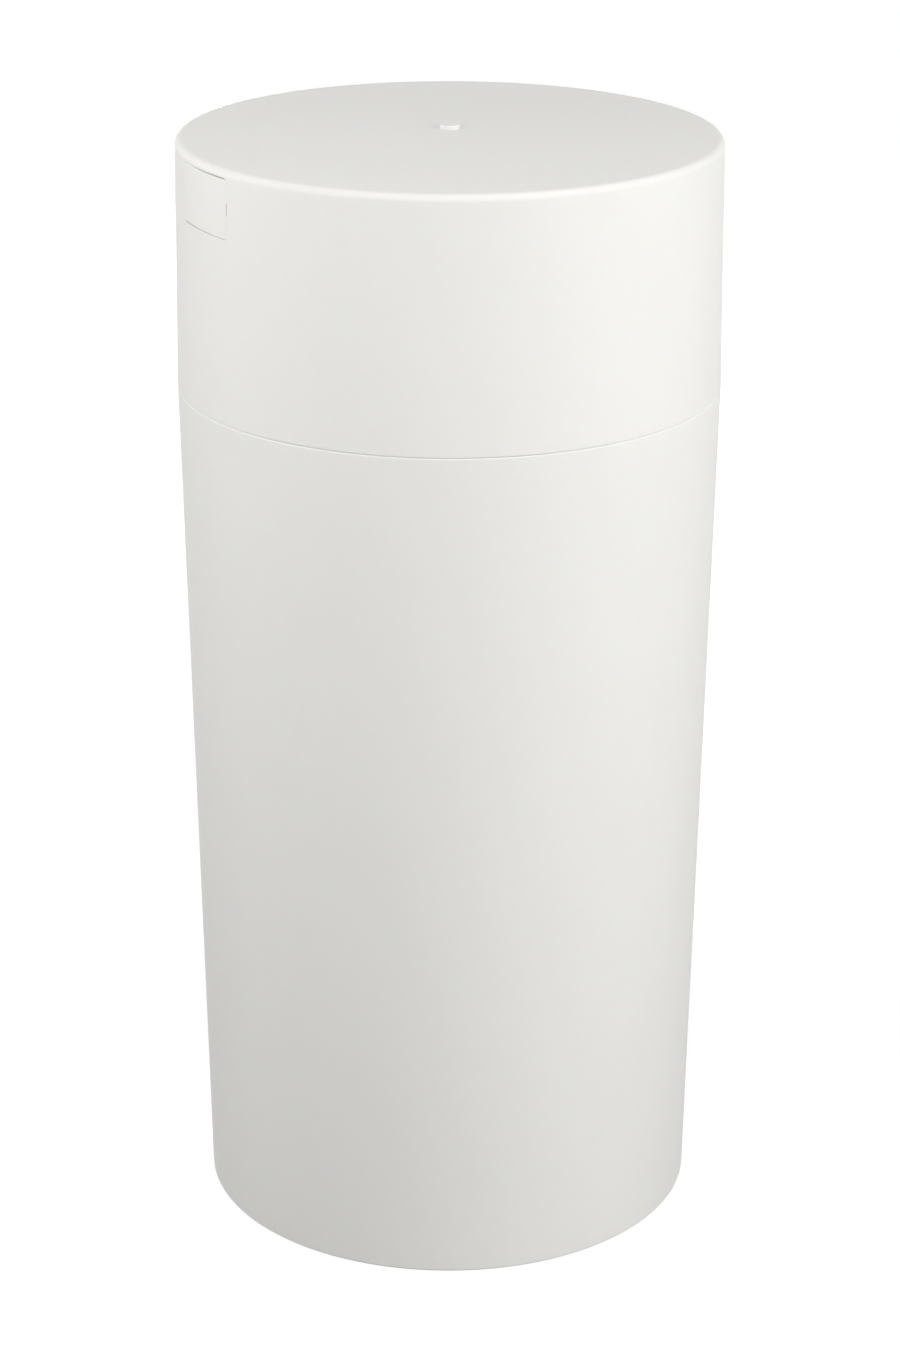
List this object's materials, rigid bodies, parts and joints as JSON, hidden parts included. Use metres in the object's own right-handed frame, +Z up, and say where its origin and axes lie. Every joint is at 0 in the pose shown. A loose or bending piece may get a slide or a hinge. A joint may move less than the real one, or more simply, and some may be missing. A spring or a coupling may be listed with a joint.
{
  "type": "vacuum storage canister",
  "caption": "Tall round moulded storage canister with a deep push-on cap, a wiping neck seal and a finger button in the cap wall that lets air back in.",
  "frame": {"origin": "centre of the foot ring, on the surface that the canister stands on", "axes": "+Z up along the axis of the canister; the release button faces -Y"},
  "size_m": [0.1216, 0.1216, 0.2535],
  "materials": {
    "canister_plastic": "off-white, satin gloss",
    "cap_plastic": "off-white, satin gloss",
    "button_plastic": "off-white, satin gloss",
    "valve_plastic": "natural white, matt",
    "silicone": "milky translucent silicone",
    "spring_steel": "drawn stainless wire"
  },
  "bodies": {
    "canister": {"canister": "canister_plastic"},
    "seal": {"neck_seal": "silicone"},
    "cap": {"cap": "cap_plastic", "button_spring": "spring_steel"},
    "button": {"release_button": "button_plastic", "valve_stem": "valve_plastic", "valve_washer": "silicone"}
  },
  "joints": [
    {"name": "cap_turn", "type": "hinge", "parent": "canister", "child": "seal", "pos_m": [0, 0, 0.2], "axis": [0, 0, 1], "continuous": true},
    {"name": "cap_lift", "type": "slide", "parent": "seal", "child": "cap", "axis": [0, 0, 1], "range_m": [0, 0.15]},
    {"name": "button_press", "type": "slide", "parent": "cap", "child": "button", "axis": [0, 1, 0], "range_m": [0, 0.002], "stiffness_N_per_m": 900, "deforming": ["button_spring"]}
  ]
}
